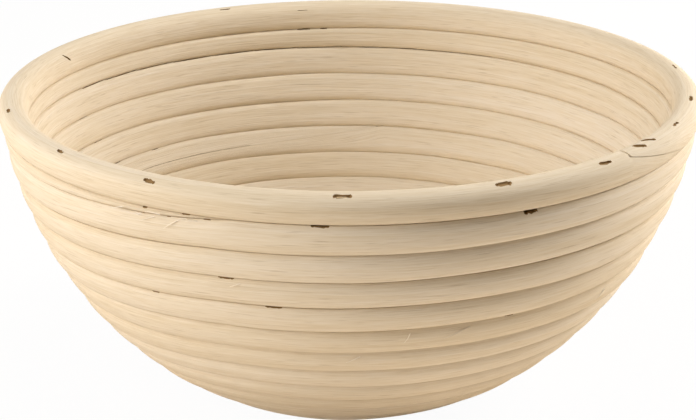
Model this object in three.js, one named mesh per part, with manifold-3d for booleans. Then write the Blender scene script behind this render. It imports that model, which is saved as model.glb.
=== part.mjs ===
// Round bread proofing basket: lengths of round rattan cane wound into a bowl, turn on turn,
// each turn held to the one below it by narrow steel staples.
// Millimetres, +Z up. The origin is the middle of the flat base, at the level it stands on.

import * as THREE from 'three';
import { mergeVertices } from 'three/addons/utils/BufferGeometryUtils.js';
import Module from 'manifold-3d';

const wasm = await Module();
wasm.setup();

// Bowl
const rimDiameter = 220;
const bowlHeight = 97.5;
const baseDiameter = 78;
const rimLeanAngle = 10.4;
const baseLeanAngle = 74;
const rimHandle = 51;
const baseHandle = 31;
const eyeDiameter = 5;

// Cane and the way it is wound
const caneDiameter = 9;
const turnGap = 0.5;
const standDepth = 0.9;
const tongueAngle = 252;
const tongueCrowding = 2.5;
const tipThickness = 0.8;
const tipWidthShare = 0.6;
const eyeTaperAngle = 100;
const spliceTurns = 4.26;
const spliceArcAngle = 55;
const rimScarfAngle = 318;
const rimScarfArcAngle = 32;

// Facets of the cane
const sideCount = 8;
const stepCount = 28;

// Staples
const crownLength = 5.8;
const legLength = 14;
const wireThickness = 1.05;
const wireWidth = 1.25;
const crownSink = 0.4;
const stapleClearance = 0.3;
const rimStapleAngles = [269, 293.5, 312.5, 336.5, 351.5, 10, 36, 64, 99.5, 115, 157, 176, 194.5, 218.5, 239];
const pairAngles = [323, 326.5];
const pairOffset = -1;
const pairTurnAngle = -40;
const shownStaples = [[1, 265], [1, 298.5], [4, 249.5], [4, 257.5], [5, 234.5], [5, 299.5], [8, 219.5]];
const shownOffset = 1.2;
const shownLeanAngle = 10;
const spliceStaples = [[5, 125], [5, 142]];
const hiddenStapleCount = 12;
const hiddenStepAngle = 137.5;
const hiddenStartAngle = 5;

const radians = THREE.MathUtils.degToRad;
const fullTurn = 2 * Math.PI;
const caneRadius = caneDiameter / 2;
const pitch = caneDiameter + turnGap;

// The wall's meridian, at the middle of the cane: radius and height, from the rim down the wall
// and along the flat base to the axis.
const rimCentre = new THREE.Vector2(rimDiameter / 2 - caneRadius, bowlHeight - caneRadius);
const baseEdge = new THREE.Vector2(baseDiameter / 2 - caneRadius, caneRadius - standDepth);
const leanDirection = (lean) => new THREE.Vector2(Math.sin(radians(lean)), Math.cos(radians(lean)));
const meridian = new THREE.CurvePath();
meridian.add(new THREE.CubicBezierCurve(
  rimCentre,
  rimCentre.clone().addScaledVector(leanDirection(rimLeanAngle), -rimHandle),
  baseEdge.clone().addScaledVector(leanDirection(baseLeanAngle), baseHandle),
  baseEdge,
));
meridian.add(new THREE.LineCurve(baseEdge, new THREE.Vector2(0, baseEdge.y)));
const meridianLength = meridian.getLength();
function meridianPoint(s) {
  if (s < 0) {
    return rimCentre.clone().addScaledVector(leanDirection(rimLeanAngle), -s);
  }
  return meridian.getPoint(Math.min(s / meridianLength, 1));
}

// Place on the bowl at an angle and a distance s down the meridian, with the directions
// along the cane, down the wall and out through the wall.
function placeAt(angle, s) {
  const before = meridianPoint(s - pitch / 2);
  const after = meridianPoint(s + pitch / 2);
  const run = after.sub(before).normalize();
  const here = meridianPoint(s);
  const cos = Math.cos(angle);
  const sin = Math.sin(angle);
  return {
    point: new THREE.Vector3(here.x * cos, here.x * sin, here.y),
    along: new THREE.Vector3(-sin, cos, 0),
    down: new THREE.Vector3(run.x * cos, run.x * sin, run.y),
    out: new THREE.Vector3(-run.y * cos, -run.y * sin, run.x),
  };
}

// The winding. Its angle is counted from the tongue's tip, backwards and down the wall.
// Turns crowd together where they pass the tongue, so they climb faster there.
function turnsWound(winding) {
  const turns = Math.max(winding, 0) / fullTurn;
  const part = turns % 1;
  return turns + tongueCrowding * part * (1 - part) ** 2;
}
const rimBottom = pitch / 2;
const turnBottom = (winding) => rimBottom + pitch * turnsWound(winding);
const turnTop = (winding) => (winding < fullTurn ? rimBottom : turnBottom(winding - fullTurn));
const angleOf = (winding) => radians(tongueAngle) - winding;

// The winding ends where the cane reaches the eye of the base.
const eyeReach = meridianLength - eyeDiameter / 2;
let windingEnd = fullTurn;
while (turnBottom(windingEnd) < eyeReach) {
  windingEnd += radians(1);
}

// Where a scarf runs, a slanting cut parts the cane's thickness between its two ends.
const scarfStart = (tipThickness + turnGap) / pitch;
const spliceFrom = spliceTurns * fullTurn;
const spliceTo = spliceFrom + radians(spliceArcAngle);
function spliceCut(winding) {
  const share = THREE.MathUtils.clamp((spliceTo - winding) / (spliceTo - spliceFrom), 0, 1);
  return THREE.MathUtils.lerp(turnTop(winding), turnBottom(winding), share);
}

// Each cane's span down the wall, from its upper to its lower side, at an angle of winding.
function wallSpan(winding) {
  const lower = winding > spliceFrom ? spliceCut(winding) : turnBottom(winding);
  return [turnTop(winding) + turnGap / 2, lower - turnGap / 2];
}
function baseSpan(winding) {
  const upper = winding < spliceTo ? spliceCut(winding) : turnTop(winding);
  const left = (windingEnd - winding) / radians(eyeTaperAngle);
  const full = turnBottom(winding) - upper - turnGap;
  const thickness = THREE.MathUtils.clamp(left * full, tipThickness, full);
  return [upper + turnGap / 2, upper + turnGap / 2 + thickness];
}
const rimStart = radians(rimScarfAngle);
const rimEnd = rimStart + radians(rimScarfArcAngle) + fullTurn;
function rimSpan(angle) {
  const intoStart = (angle - rimStart) / radians(rimScarfArcAngle);
  const intoEnd = (angle - rimStart - fullTurn) / radians(rimScarfArcAngle);
  const lower = intoStart < 1 ? THREE.MathUtils.lerp(-rimBottom, rimBottom, intoStart) : rimBottom;
  const upper = intoEnd > 0 ? THREE.MathUtils.lerp(-rimBottom, rimBottom, intoEnd) : -rimBottom;
  return [upper + turnGap / 2, lower - turnGap / 2];
}

// Angles from one end of a cane to the other, on the same steps all round the bowl, so that
// facets of neighbouring turns lie side by side, with the corners of its scarf among them.
function stationsBetween(high, low, corners) {
  const step = fullTurn / stepCount;
  const fixed = [high, low, ...corners];
  const stations = [...fixed];
  for (let i = Math.ceil(high / step) - 1; i * step > low; i -= 1) {
    if (fixed.every((angle) => Math.abs(angle - i * step) > step / 4)) {
      stations.push(i * step);
    }
  }
  return stations.sort((a, b) => b - a);
}

// One ring of the cane: a polygon with corners up, down, out and in, as high as its span.
function ringAt(angle, [upper, lower]) {
  const { point, down, out } = placeAt(angle, (upper + lower) / 2);
  const halfHeight = (lower - upper) / 2;
  const thinness = Math.min(1, halfHeight / caneRadius);
  const halfWidth = caneRadius * THREE.MathUtils.lerp(tipWidthShare, 1, thinness);
  return Array.from({ length: sideCount }, (_, i) => {
    const around = (i / sideCount) * fullTurn;
    return point.clone()
      .addScaledVector(out, halfWidth * Math.cos(around))
      .addScaledVector(down, halfHeight * Math.sin(around));
  });
}

// Rings joined into one closed tube, as manifold-3d takes it.
function solidFromRings(rings) {
  const sides = rings[0].length;
  const triangles = [];
  for (let ring = 0; ring + 1 < rings.length; ring += 1) {
    for (let side = 0; side < sides; side += 1) {
      const a = ring * sides + side;
      const b = ring * sides + (side + 1) % sides;
      triangles.push(a, a + sides, b, b, a + sides, b + sides);
    }
  }
  const last = (rings.length - 1) * sides;
  for (let side = 1; side + 1 < sides; side += 1) {
    triangles.push(0, side, side + 1, last, last + side + 1, last + side);
  }
  return new wasm.Manifold(new wasm.Mesh({
    numProp: 3,
    vertProperties: Float32Array.from(rings.flat().flatMap((corner) => corner.toArray())),
    triVerts: Uint32Array.from(triangles),
  }));
}

function solidFromGeometry(geometry) {
  const bare = geometry.clone();
  bare.deleteAttribute('normal');
  bare.deleteAttribute('uv');
  const merged = mergeVertices(bare);
  return new wasm.Manifold(new wasm.Mesh({
    numProp: 3,
    vertProperties: Float32Array.from(merged.attributes.position.array),
    triVerts: Uint32Array.from(merged.index.array),
  }));
}

function geometryFromSolid(solid) {
  const { vertProperties, triVerts } = solid.getMesh();
  const geometry = new THREE.BufferGeometry();
  geometry.setAttribute('position', new THREE.BufferAttribute(vertProperties, 3));
  geometry.setIndex(new THREE.BufferAttribute(triVerts, 1));
  geometry.computeVertexNormals();
  return geometry;
}

// The least distance between corners of a tube that lie more than half a turn apart on it.
function leastGap(rings) {
  let least = Infinity;
  for (let i = 0; i < rings.length; i += 1) {
    for (let j = i + stepCount / 2; j < rings.length; j += 1) {
      for (const corner of rings[i]) {
        for (const other of rings[j]) {
          least = Math.min(least, corner.distanceTo(other));
        }
      }
    }
  }
  return least;
}

// A staple seen from its side: the crown on top, and a leg down at each end.
// The slot is the same outline grown by the clearance and open above the crown.
function stapleGeometry(grown, openAbove) {
  const half = crownLength / 2 + grown;
  const inner = half - wireThickness - 2 * grown;
  const top = grown + openAbove;
  const under = -wireThickness - grown;
  const tip = -legLength - grown;
  const outline = new THREE.Shape([
    new THREE.Vector2(-half, top),
    new THREE.Vector2(-half, tip),
    new THREE.Vector2(-inner, tip),
    new THREE.Vector2(-inner, under),
    new THREE.Vector2(inner, under),
    new THREE.Vector2(inner, tip),
    new THREE.Vector2(half, tip),
    new THREE.Vector2(half, top),
  ]);
  const width = wireWidth + 2 * grown;
  const geometry = new THREE.ExtrudeGeometry(outline, { depth: width, bevelEnabled: false });
  geometry.translate(0, 0, -width / 2);
  return geometry;
}

// A staple in a cane's span: its crown sunk into the upper side, its legs down the wall. It can sit
// off the middle of the cane, with its legs leaning back across it, or be turned out of line with it.
function stapleAt(angle, [upper, lower], { offset = 0, lean = 0, turn = 0 }) {
  const { point, along, down, out } = placeAt(angle, (upper + lower) / 2);
  const reach = Math.abs(offset) + Math.abs(Math.sin(radians(turn))) * crownLength / 2;
  const depth = crownSink + reach * Math.tan(Math.PI / sideCount);
  const crown = point.addScaledVector(down, (upper - lower) / 2 + depth).addScaledVector(out, offset);
  const place = new THREE.Matrix4().makeBasis(along, down.negate(), out).setPosition(crown);
  place.multiply(new THREE.Matrix4().makeRotationX(radians(lean)));
  place.multiply(new THREE.Matrix4().makeRotationY(radians(turn)));
  return { place, depth };
}
const numbered = (name, list) => list.map((staple, i) => ({
  name: `${name}_${String(i + 1).padStart(2, '0')}`,
  ...staple,
}));

// Staples driven down through the rim, and a pair set askew on its scarf.
const rimMiddle = [turnGap / 2 - rimBottom, rimBottom - turnGap / 2];
const askew = { offset: pairOffset, turn: pairTurnAngle };
const rimStaples = [
  ...rimStapleAngles.map((angle) => stapleAt(radians(angle), rimMiddle, {})),
  ...pairAngles.map((angle) => stapleAt(radians(angle), rimMiddle, askew)),
];

// Staples of the turns below the rim: those driven in from outside, which show in the grooves,
// those in the splice, and hidden ones, one in each turn down to the base.
const lastStapled = windingEnd - fullTurn - radians(eyeTaperAngle);
const windingAt = ([turn, angle]) => (turn - 1) * fullTurn
  + THREE.MathUtils.euclideanModulo(radians(tongueAngle - angle), fullTurn);
const hiddenStaples = Array.from(
  { length: hiddenStapleCount },
  (_, i) => [i + 1, hiddenStartAngle + hiddenStepAngle * (i + 1)],
);
const leaning = { offset: shownOffset, lean: shownLeanAngle };
const wallPlaces = [
  ...shownStaples.map((spot) => [windingAt(spot), leaning]),
  ...[...spliceStaples, ...hiddenStaples].map((spot) => [windingAt(spot), {}]),
];
const wallStaples = wallPlaces
  .filter(([winding]) => winding < lastStapled)
  .sort(([winding], [other]) => winding - other)
  .map(([winding, way]) => stapleAt(
    angleOf(winding),
    [turnTop(winding) + turnGap / 2, turnBottom(winding) - turnGap / 2],
    way,
  ));
const staples = [...numbered('rim_staple', rimStaples), ...numbered('wall_staple', wallStaples)];

const rattan = new THREE.MeshStandardMaterial({ color: 0xd9c09a, roughness: 0.75, metalness: 0 });
const steel = new THREE.MeshStandardMaterial({ color: 0x8d8578, roughness: 0.45, metalness: 1 });

const basket = new THREE.Group();
const stapleSolid = stapleGeometry(0, 0);
const slots = staples.map(({ place, depth }) => (
  solidFromGeometry(stapleGeometry(stapleClearance, depth)).transform(place.elements)
));

// The canes stand on a flat that is cut across the underside of the base.
const ground = new THREE.BoxGeometry(rimDiameter, rimDiameter, caneDiameter);
ground.translate(0, 0, -caneDiameter / 2);
const groundSolid = solidFromGeometry(ground);

function addCane(name, stations, spanAt) {
  const rings = stations.map((angle) => ringAt(angle, spanAt(angle)));
  console.log(`${name}: least gap to itself ${leastGap(rings).toFixed(2)} mm`);
  const whole = solidFromRings(rings).subtract(groundSolid);
  const slotted = slots.reduce((solid, slot) => solid.subtract(slot), whole);
  const cane = new THREE.Mesh(geometryFromSolid(slotted), rattan);
  cane.name = name;
  basket.add(cane);
}

const windingOf = (angle) => radians(tongueAngle) - angle;
let tongueTip = 0;
while (turnBottom(tongueTip) - rimBottom < tipThickness + turnGap) {
  tongueTip += radians(1);
}
const spliceTip = scarfStart * (spliceTo - spliceFrom);
const rimTip = scarfStart * radians(rimScarfArcAngle);
addCane(
  'base_cane',
  stationsBetween(angleOf(spliceFrom + spliceTip), angleOf(windingEnd), [angleOf(spliceTo)]),
  (angle) => baseSpan(windingOf(angle)),
);
addCane(
  'wall_cane',
  stationsBetween(angleOf(tongueTip), angleOf(spliceTo - spliceTip), [angleOf(spliceFrom)]),
  (angle) => wallSpan(windingOf(angle)),
);
addCane(
  'rim_cane',
  stationsBetween(rimEnd - rimTip, rimStart + rimTip, [rimStart + fullTurn, rimEnd - fullTurn]),
  rimSpan,
);

for (const { name, place } of staples) {
  const staple = new THREE.Mesh(stapleSolid, steel);
  staple.name = name;
  staple.applyMatrix4(place);
  basket.add(staple);
}

export default basket;
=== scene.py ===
"""Rattan proofing basket: canes wound turn on turn into a bowl, sunk staples and a plain studio.

Lengths are in metres and angles in radians, unless a table says otherwise. Angles round the bowl are
counted from +X towards +Y, and distances down the wall from the middle of the rim's cane.
"""

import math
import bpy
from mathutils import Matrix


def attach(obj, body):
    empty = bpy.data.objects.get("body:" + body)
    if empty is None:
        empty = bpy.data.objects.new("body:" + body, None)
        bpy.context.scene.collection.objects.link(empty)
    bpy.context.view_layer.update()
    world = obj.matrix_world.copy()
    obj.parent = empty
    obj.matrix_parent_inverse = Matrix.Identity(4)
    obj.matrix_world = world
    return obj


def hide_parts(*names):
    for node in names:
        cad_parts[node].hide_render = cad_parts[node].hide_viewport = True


bl_info = {
    "name": "Rattan proofing basket",
    "version": (1, 0, 0),
    "blender": (4, 5, 0),
    "location": "View3D > Sidebar > Basket",
    "description": "Winds the canes of a round proofing basket and lights it in a plain studio",
    "category": "Object",
}

import bpy
import numpy as np
from mathutils import Matrix, Vector

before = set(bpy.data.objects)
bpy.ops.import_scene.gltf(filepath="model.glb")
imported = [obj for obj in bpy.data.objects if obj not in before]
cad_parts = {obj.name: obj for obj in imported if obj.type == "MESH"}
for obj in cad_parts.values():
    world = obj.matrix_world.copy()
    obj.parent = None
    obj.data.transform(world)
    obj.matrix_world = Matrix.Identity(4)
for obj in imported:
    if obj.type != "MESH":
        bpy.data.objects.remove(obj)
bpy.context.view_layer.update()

MM = 0.001
FULL_TURN = 2 * math.pi

# Width in pixels of the picture that the camera's focal length is given for.
PICTURE_WIDTH = 696

# Rim staples whose slots show: angle in degrees, millimetres out from the rim's middle, slant of the
# crown in degrees, length and width of the slot and depth of the crown in it in millimetres.
RIM_SLOTS = (
    (268.8, 1.35, 0, 5.4, 1.65, 0.3),
    (293.5, 0.8, -3, 5.2, 2.0, 0.6),
    (312.6, 1.4, 4, 5.0, 1.3, 0.7),
    (322.4, -0.1, 32, 5.0, 1.6, 0.7),
    (325.8, -0.7, 35, 5.2, 1.6, 0.7),
    (335.8, 0.35, 0, 4.2, 1.1, 0.7),
    (350.6, 0.3, 0, 5.2, 1.4, 0.7),
    (9.8, -0.45, 0, 4.4, 0.8, 0.8),
    (99.3, -4.05, 0, 3.6, 0.2, 1.2),
    (114.6, -2.1, 0, 4.0, 0.6, 1.2),
    (156.5, -4.2, 40, 4.4, 0.6, 1.2),
    (194.1, 1.2, 0, 3.6, 1.2, 0.7),
    (218.4, 1.15, 7, 3.3, 1.0, 0.7),
    (238.5, 2.15, 10, 4.2, 1.2, 0.7),
)

# Slots in the grooves: turn below the groove (1 lies under the rim), angle in degrees, outside 1 or
# inside -1, length and height in millimetres.
GROOVE_SLOTS = (
    (1, 265.5, 1, 5.2, 0.6),
    (1, 298.1, 1, 4.5, 1.1),
    (1, 237.2, 1, 1.6, 0.5),
    (1, 244.5, 1, 2.8, 0.34),
    (1, 247.8, 1, 3.2, 0.22),
    (2, 236.4, 1, 2.4, 0.14),
    (2, 241.0, 1, 3.0, 0.14),
    (3, 249.8, 1, 5.0, 0.45),
    (4, 257.3, 1, 5.0, 0.45),
    (5, 234.8, 1, 3.0, 0.3),
    (5, 299.5, 1, 4.0, 0.35),
    (8, 223.5, 1, 1.6, 0.4),
    (1, 99.1, -1, 4.6, 0.4),
    (1, 95.1, -1, 2.4, 0.35),
    (2, 64, -1, 14, 0.1),
    (2, 72, -1, 14, 0.16),
    (2, 80, -1, 14, 0.2),
    (2, 88, -1, 14, 0.2),
    (2, 96, -1, 16, 0.22),
    (2, 105, -1, 16, 0.28),
    (2, 114, -1, 16, 0.28),
    (2, 123, -1, 16, 0.26),
    (2, 132, -1, 16, 0.26),
    (2, 141, -1, 16, 0.28),
    (2, 149, -1, 14, 0.26),
    (3, 155, -1, 5, 0.14),
    (4, 152.9, -1, 5, 0.14),
    (5, 137.5, -1, 3.0, 0.18),
    (5, 149.5, -1, 3.2, 0.18),
)

# Frayed fibres that stand off the outside: turn, angle in degrees, share of the turn's height from its
# top, length in millimetres and slant in degrees.
FRAYED = (
    (3, 252.4, 0.10, 3, 8),
    (5, 280.6, 0.08, 3, 55),
    (5, 291.5, 0.10, 7.5, 6),
    (6, 272.0, 0.10, 4, 10),
    (5, 323.9, 0.14, 5, 30),
    (1, 233.5, 0.30, 6, 8),
    (1, 240.5, 0.35, 5, -10),
    (2, 243.5, 0.05, 5, 14),
    (2, 236.0, 0.06, 4, -12),
    (2, 239.0, 0.04, 4, 10),
    (2, 246.5, 0.05, 3.5, -14),
    (1, 245.0, 0.8, 3, 18),
    (1, 237.0, 0.7, 3, 12),
)

# More fibres fray at places on the back that are left to chance: how many, on which turns (the last one
# isn't reached), at which shares of the turn's height, how long in millimetres and how slanting.
FRAYED_ELSEWHERE = 14
CHANCE_TURNS = (1, 8)
CHANCE_SHARES = (0.08, 0.9)
CHANCE_LENGTHS = (2.5, 5)
CHANCE_SLANTS = (-0.2, 0.4)

# A frayed fibre: points along it, and the angles of its three corners.
FIBRE_POINTS = 7
FIBRE_CORNERS = (0, 2.1, 4.2)
# Its radius at the root, the share of that which is gone at the tip, and the most that it bows.
FIBRE_RADIUS = 0.19 * MM
FIBRE_TAPER = 0.75
FIBRE_BOW = 0.35
# How deep its root lies in the surface, how steeply it lifts off, and at how many of its own lengths the
# lift would be back at nothing.
FIBRE_ROOT = 0.05 * MM
FIBRE_LIFT = 0.9 * MM
FIBRE_LIFT_END = 1.4
# The shares of the turn's height that it stays between.
FIBRE_LIMITS = (0.04, 0.96)

# Outline of a slot: points on it, and a power that is 1 for an ellipse and less for squarer ends.
SLOT_POINTS = 28
SLOT_POWER = 0.6
# How ragged its edge is: the spread of its width about 1, and the limits of that.
SLOT_RAGGED = 0.28
SLOT_RAGGED_LIMITS = (0.45, 1.5)
# Shares of a slot's length and width that are left at its floor.
SLOT_FLOOR = (0.86, 0.6)
# Depth of a slot in the rim, and how far its cutter stands out of the surface.
RIM_SLOT_DEPTH = 0.6 * MM
RIM_SLOT_RISE = 2 * MM
# A slot in a groove: how far its middle lies below the seam and how deep it is, both as shares of its
# height, and how far its cutter stands out of the surface.
GROOVE_SLOT_DROP = 0.3
GROOVE_SLOT_DEPTH = 1.3
GROOVE_SLOT_RISE = 2.5 * MM
# Openings along the splice: between which shares of its cut, how many, and their length against their
# spacing.
OPENING_SHARES = (0.14, 0.66)
OPENINGS = 9
OPENING_OVERLAP = 1.1
# Their width and depth, how far the cutter stands out, and the step of winding that gives their direction.
OPENING_WIDTH = 0.08 * MM
OPENING_DEPTH = 0.08 * MM
OPENING_RISE = 1 * MM
OPENING_STEP = 0.02

# Rim staples: how near an angle lies to its slot's, how deep a crown lies that the cane has closed over,
# and how far from the rim's middle a crown may sit so that its legs stay in the cane.
STAPLE_MATCH = math.radians(1.7)
CLOSED_SINK = 1.5 * MM
CROWN_LIMIT = 2 * MM
# A staple's wire: radius of its bends in thicknesses of the wire, points on a bend, and sides.
WIRE_BEND = 1.2
WIRE_BEND_POINTS = 5
WIRE_SIDES = 10

# How finely a cane is meshed: steps on each side's arc, points inside each flat, the step along it, and
# the least radius that this step is worked out for.
ARC_STEPS = 14
FLAT_POINTS = 2
RING_STEP = 2.2 * MM
LEAST_RING_RADIUS = 4 * MM
# Edges with a sharper angle than this aren't smoothed over.
SHARP_ANGLE = math.radians(38)
# How finely the wall's curve is drawn.
WALL_POINTS = 400
# How far and in which steps of winding the eye and the tip of the tongue are searched for.
MOST_TURNS = 40
EYE_STEP = math.radians(1)
TIP_REACH = 1
TIP_STEP = 0.002
# Share of the pitch that half a cane's height needs to bulge fully, and the power by which a thinner
# one bulges less.
FULL_BULGE = 0.36
BULGE_POWER = 0.7
# Girth of the pressed cane in multiples of its depth, and how far apart the grain of two canes is taken.
GIRTH = 3.5
GRAIN_APART = 0.37
# Wavelengths in radians of winding by which the seams and the turns wander, and the power of their count
# that brings their sum back to about 1.
SEAM_WAVES = (0.43, 0.71, 1.3, 2.6)
WALL_WAVES = (0.9, 1.7, 3.9)
WAVES_POWER = 0.75
# How far short of the thin ends of the splice's cut both canes stop.
SPLICE_END = math.radians(1.5)
# Share of the scarf's arc at which the rim's lower end stops, and half the arc of the step in it that the
# blunt upper end meets.
RIM_END = 0.97
RIM_STEP = math.radians(0.02)

# Seeds of the random draws, so that every run gives the same basket.
SEAM_SEED = 3
BASE_SEED = 5
WALL_SEED = 7
RIM_SEED = 11
SLOT_SEED = 21
FIBRE_SEED = 31

# Soft boxes: name, azimuth and elevation in degrees, distance, width and height in metres, and watts.
LAMPS = (
    ("left_low_box", 197, 8, 1.2, 0.5, 0.4, 4.4),
    ("left_box", 210, 29, 1.2, 0.55, 0.55, 6.9),
    ("left_high_box", 198, 55, 1.2, 0.45, 0.45, 2.6),
    ("right_low_box", 21, 20, 1.2, 0.5, 0.45, 7.1),
    ("right_box", 14, 38, 1.2, 0.45, 0.45, 7.6),
    ("right_back_low_box", 56, 8, 1.2, 0.45, 0.4, 5.8),
    ("overhead_box", 270, 80, 1.2, 0.45, 0.45, 3.0),
)
# The point that they face.
LAMP_AIM = (0, 0, 0.05)

# Half the floor's side, and how far it lies under the basket so that they share no plane.
FLOOR_REACH = 4.0
FLOOR_DROP = 0.1 * MM
# The camera shows nothing nearer than this.
NEAREST_SEEN = 0.01

# Numbers of a Mix node's sockets for colours, whose names aren't theirs alone: its factor, its two
# colours and its result.
MIX_FACTOR = 0
MIX_FIRST = 6
MIX_SECOND = 7
MIX_RESULT = 2


def linear(hex_colour):
    """The linear colour of an sRGB hex value."""
    parts = [int(hex_colour[i:i + 2], 16) / 255 for i in (1, 3, 5)]
    return tuple(p / 12.92 if p <= 0.04045 else ((p + 0.055) / 1.055) ** 2.4 for p in parts)


def length(name, description, millimetres):
    """A length that a user can change."""
    return bpy.props.FloatProperty(
        name=name, description=description, default=millimetres * MM, precision=5, unit="LENGTH")


def angle(name, description, degrees):
    """An angle that a user can change."""
    return bpy.props.FloatProperty(
        name=name, description=description, default=math.radians(degrees), subtype="ANGLE", unit="ROTATION")


def number(name, description, default):
    """A plain number that a user can change."""
    return bpy.props.FloatProperty(name=name, description=description, default=default, precision=4)


def colour(name, description, hex_colour):
    """A colour that a user can change, given as an sRGB hex value."""
    return bpy.props.FloatVectorProperty(
        name=name, description=description, default=linear(hex_colour), subtype="COLOR", min=0, max=1)


class BasketSizes(bpy.types.PropertyGroup):
    """Sizes of the bowl, its cane and the way it is wound."""

    rim_diameter: length("Rim diameter", "Across the outside of the rim", 220)
    bowl_height: length("Height", "From the surface it stands on to the top of the rim", 97.5)
    base_diameter: length("Base diameter", "Across the flat of the base", 79.85)
    rim_lean: angle("Rim lean", "How far the wall leans out at the rim", 9.84)
    base_lean: angle("Base lean", "How far the wall leans out at the base", 75.36)
    rim_handle: length("Rim handle", "How long the wall keeps the rim's lean", 58.9)
    base_handle: length("Base handle", "How long the wall keeps the base's lean", 21.8)
    eye_diameter: length("Eye", "Across the eye in the middle of the base", 5)
    cane_diameter: length("Cane diameter", "Thickness of the cane between its neighbours", 9)
    turn_gap: length("Turn spacing", "What a turn takes up beyond the cane's thickness", 0.53)
    stand_depth: length("Stand depth", "How deep the base is worn flat", 0.97)
    cane_depth: length("Cane depth", "Thickness of the cane through the wall", 8.8)
    squareness: number("Squareness", "2 is a round cane; a higher power is squarer", 2.6)
    inside_squareness: number(
        "Inside squareness", "The same for the face inside the bowl, worn flatter", 4.2)
    inside_pressed: number(
        "Inside pressed share", "Share of the cane's depth left at the seams inside", 0.67)
    pressed: number("Pressed share", "Share of the cane's depth that its neighbours press flat", 0.6)
    seam: length("Seam", "Gap left between pressed turns", 0.06)
    tongue_angle: angle("Tongue angle", "Where the wall cane begins to wind down from the rim", 247.3)
    tongue_lead: angle("Tongue lead", "How far the thin tip of the tongue runs on past that angle", 4.8)
    tongue_bulge: length("Tongue bulge", "Extra thickness of the tongue behind its tip", 1.1)
    tongue_bulge_arc: angle("Tongue bulge arc", "Arc from the tip to the thickest extra", 12)
    tongue_crowding: number("Tongue crowding", "How far turns are pushed down as they pass the tongue", 2.9)
    tongue_ease: angle("Tongue ease", "Arc over which the tongue leaves the rim", 60)
    tip_thickness: length("Tip thickness", "Thickness at the tip of a tapered end", 0.15)
    eye_taper: angle("Eye taper", "Arc over which the cane tapers into the eye", 100)
    splice_turns: number("Splice place", "Turns from the tongue to the splice", 4.175)
    splice_arc: angle("Splice arc", "Arc of the slanting cut of the splice", 102)
    splice_level: number(
        "Splice level", "Share of the turn's height above the long middle of the cut", 0.61)
    rim_scarf_angle: angle("Rim scarf place", "Where the rim's upper end begins", 318)
    rim_scarf_arc: angle("Rim scarf arc", "Arc of the slanting cut in the rim", 25.1)
    rim_scarf_blunt: number(
        "Rim scarf end", "Share of the rim's height left at the scarf's blunt upper end", 0.065)
    rim_scarf_gap: angle("Rim scarf gap", "Open joint at the scarf's blunt upper end", 0.42)
    rim_scarf_seam: length("Rim scarf seam", "Open joint along the scarf", 0.16)
    wire: length("Wire", "Thickness of the staples' wire", 1.05)
    crown: length("Crown", "Length of a staple's crown", 5.2)
    leg: length("Leg", "Length of a staple's legs", 13.5)
    rim_tilt: length("Rim tilt", "How far the rim lies higher in front and lower at the back", 0.96)
    rim_bend: length("Rim bend", "How far the rim rises at the sides and sinks in front and behind", 0.15)
    rim_crest: length("Rim crest", "Height of the rim's rounded top above its middle", 4.385)
    rim_crest_change: length(
        "Rim crest change", "How far that height is more at the back, less in front", 0.43)
    rim_roundness: number(
        "Rim roundness", "As the squareness, for the rim's top, which nothing presses", 2.05)
    base_shift: length("Base shift", "How far the base sits to one side of the rim", -0.88)
    press_wander: length("Press wander", "How far the seams between turns wander", 0.13)
    wall_wander: length("Wall wander", "How far turns stand in or out of line", 0.16)


class BasketFinish(bpy.types.PropertyGroup):
    """Colours of the basket's materials."""

    cane_pale: colour("Pale fibre", "Bleached fibres of the cane", "#EFE4D4")
    cane_middle: colour("Cane", "The cane's own colour", "#E5D6BE")
    cane_deep: colour("Deep fibre", "Darker bundles of fibre", "#D6C2A1")
    fibre: colour("Frayed fibre", "Dry fibres that have come off the cane", "#F8EEDF")
    pore: colour("Pore", "Open pores and splits", "#A68B62")
    # The slots' dark brown stands partly for torn fibre and partly for painted shade inside them.
    slot: colour("Slot", "Torn fibre inside a staple's slot", "#8C6B43")
    steel: colour("Wire", "Drawn steel wire, dulled", "#8C8170")


class StudioSizes(bpy.types.PropertyGroup):
    """Camera, floor and lamps."""

    lens_pixels: number("Focal length", "Focal length in pixels of the picture's width", 2601.1)
    camera_distance: length("Camera distance", "From the camera to the point it looks at", 832.2)
    camera_elevation: angle("Camera elevation", "How far the camera looks down", 19.369)
    camera_roll: angle("Camera roll", "How far the picture leans", -0.263)
    aim_height: length("Aim height", "Height of the point the camera looks at", 55.40)
    aim_side: length("Aim side", "How far the camera stands to one side", -0.77)
    lamp_colour: colour("Lamps", "Colour of the soft boxes' light", "#FFFBF6")
    floor_colour: colour("Floor", "Plain pale card under the basket", "#F8F0E5")
    floor_shadow: number("Floor shadow", "How much of its own shading the floor shows", 0.04)
    ambient: number("Ambient light", "Strength of the light from all round", 0.0)


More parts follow.
